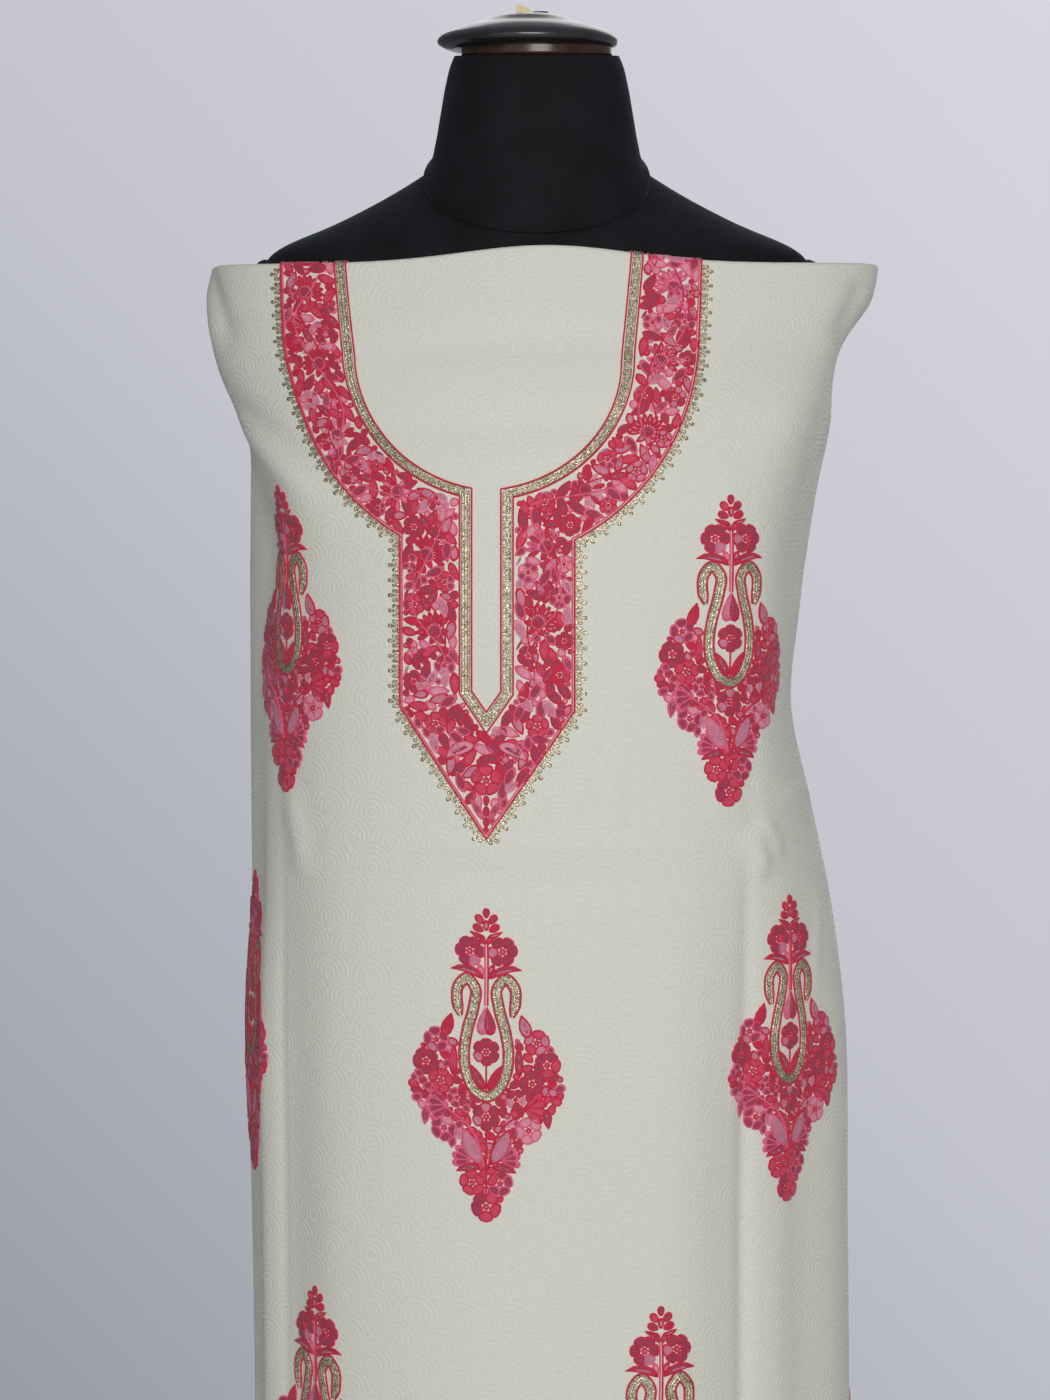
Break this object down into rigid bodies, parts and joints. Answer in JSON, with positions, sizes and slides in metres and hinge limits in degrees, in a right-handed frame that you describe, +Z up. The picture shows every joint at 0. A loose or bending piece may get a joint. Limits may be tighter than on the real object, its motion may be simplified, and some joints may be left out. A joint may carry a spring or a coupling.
{
  "type": "unstitched salwar kameez suit length on a dress form",
  "caption": "Embroidered cream kameez cloth, folded in at the top and wrapped and pinned round a limbless black dress form on a round-footed stand.",
  "frame": {"origin": "centre of the underside of the stand's foot, on the floor, under the form's neck", "axes": "+Z up; -Y is the garment's front; +X is the viewer's right when looking at the front"},
  "size_m": [0.4539, 0.38, 1.5246],
  "materials": {
    "cream_wool": "soft jacquard weave",
    "crimson_wool": "chain-stitched wool",
    "metal_thread": "glinting metal thread",
    "black_jersey": "matt jersey",
    "black_gloss": "gloss",
    "brass": "satin",
    "black_steel": "satin powder coat",
    "pin_steel": "polished"
  },
  "bodies": {
    "root": {"back_pin_1": "pin_steel", "back_pin_2": "pin_steel", "back_pin_3": "pin_steel", "buta_chest_1": "crimson_wool", "buta_chest_2": "crimson_wool", "buta_chest_3": "crimson_wool", "buta_chest_4": "crimson_wool", "buta_hem_1": "crimson_wool", "buta_hem_2": "crimson_wool", "buta_hem_3": "crimson_wool", "buta_hem_4": "crimson_wool", "buta_thigh_1": "crimson_wool", "buta_thigh_2": "crimson_wool", "buta_thigh_3": "crimson_wool", "buta_thigh_4": "crimson_wool", "buta_waist_1": "crimson_wool", "buta_waist_2": "crimson_wool", "buta_waist_3": "crimson_wool", "buta_waist_4": "crimson_wool", "form_arm_plate_left": "black_jersey", "form_arm_plate_right": "black_jersey", "form_cap": "black_gloss", "form_cap_loop": "black_steel", "form_cap_plug": "black_gloss", "form_cap_tab": "brass", "form_neck": "black_jersey", "form_torso": "black_jersey", "kameez_cloth": "cream_wool", "neck_flower_band": "crimson_wool", "neck_metal_strip": "metal_thread", "neck_picot_edging": "metal_thread", "stand_collar": "black_steel", "stand_flange": "black_steel", "stand_foot": "black_steel", "stand_pole": "black_steel"}
  },
  "joints": []
}
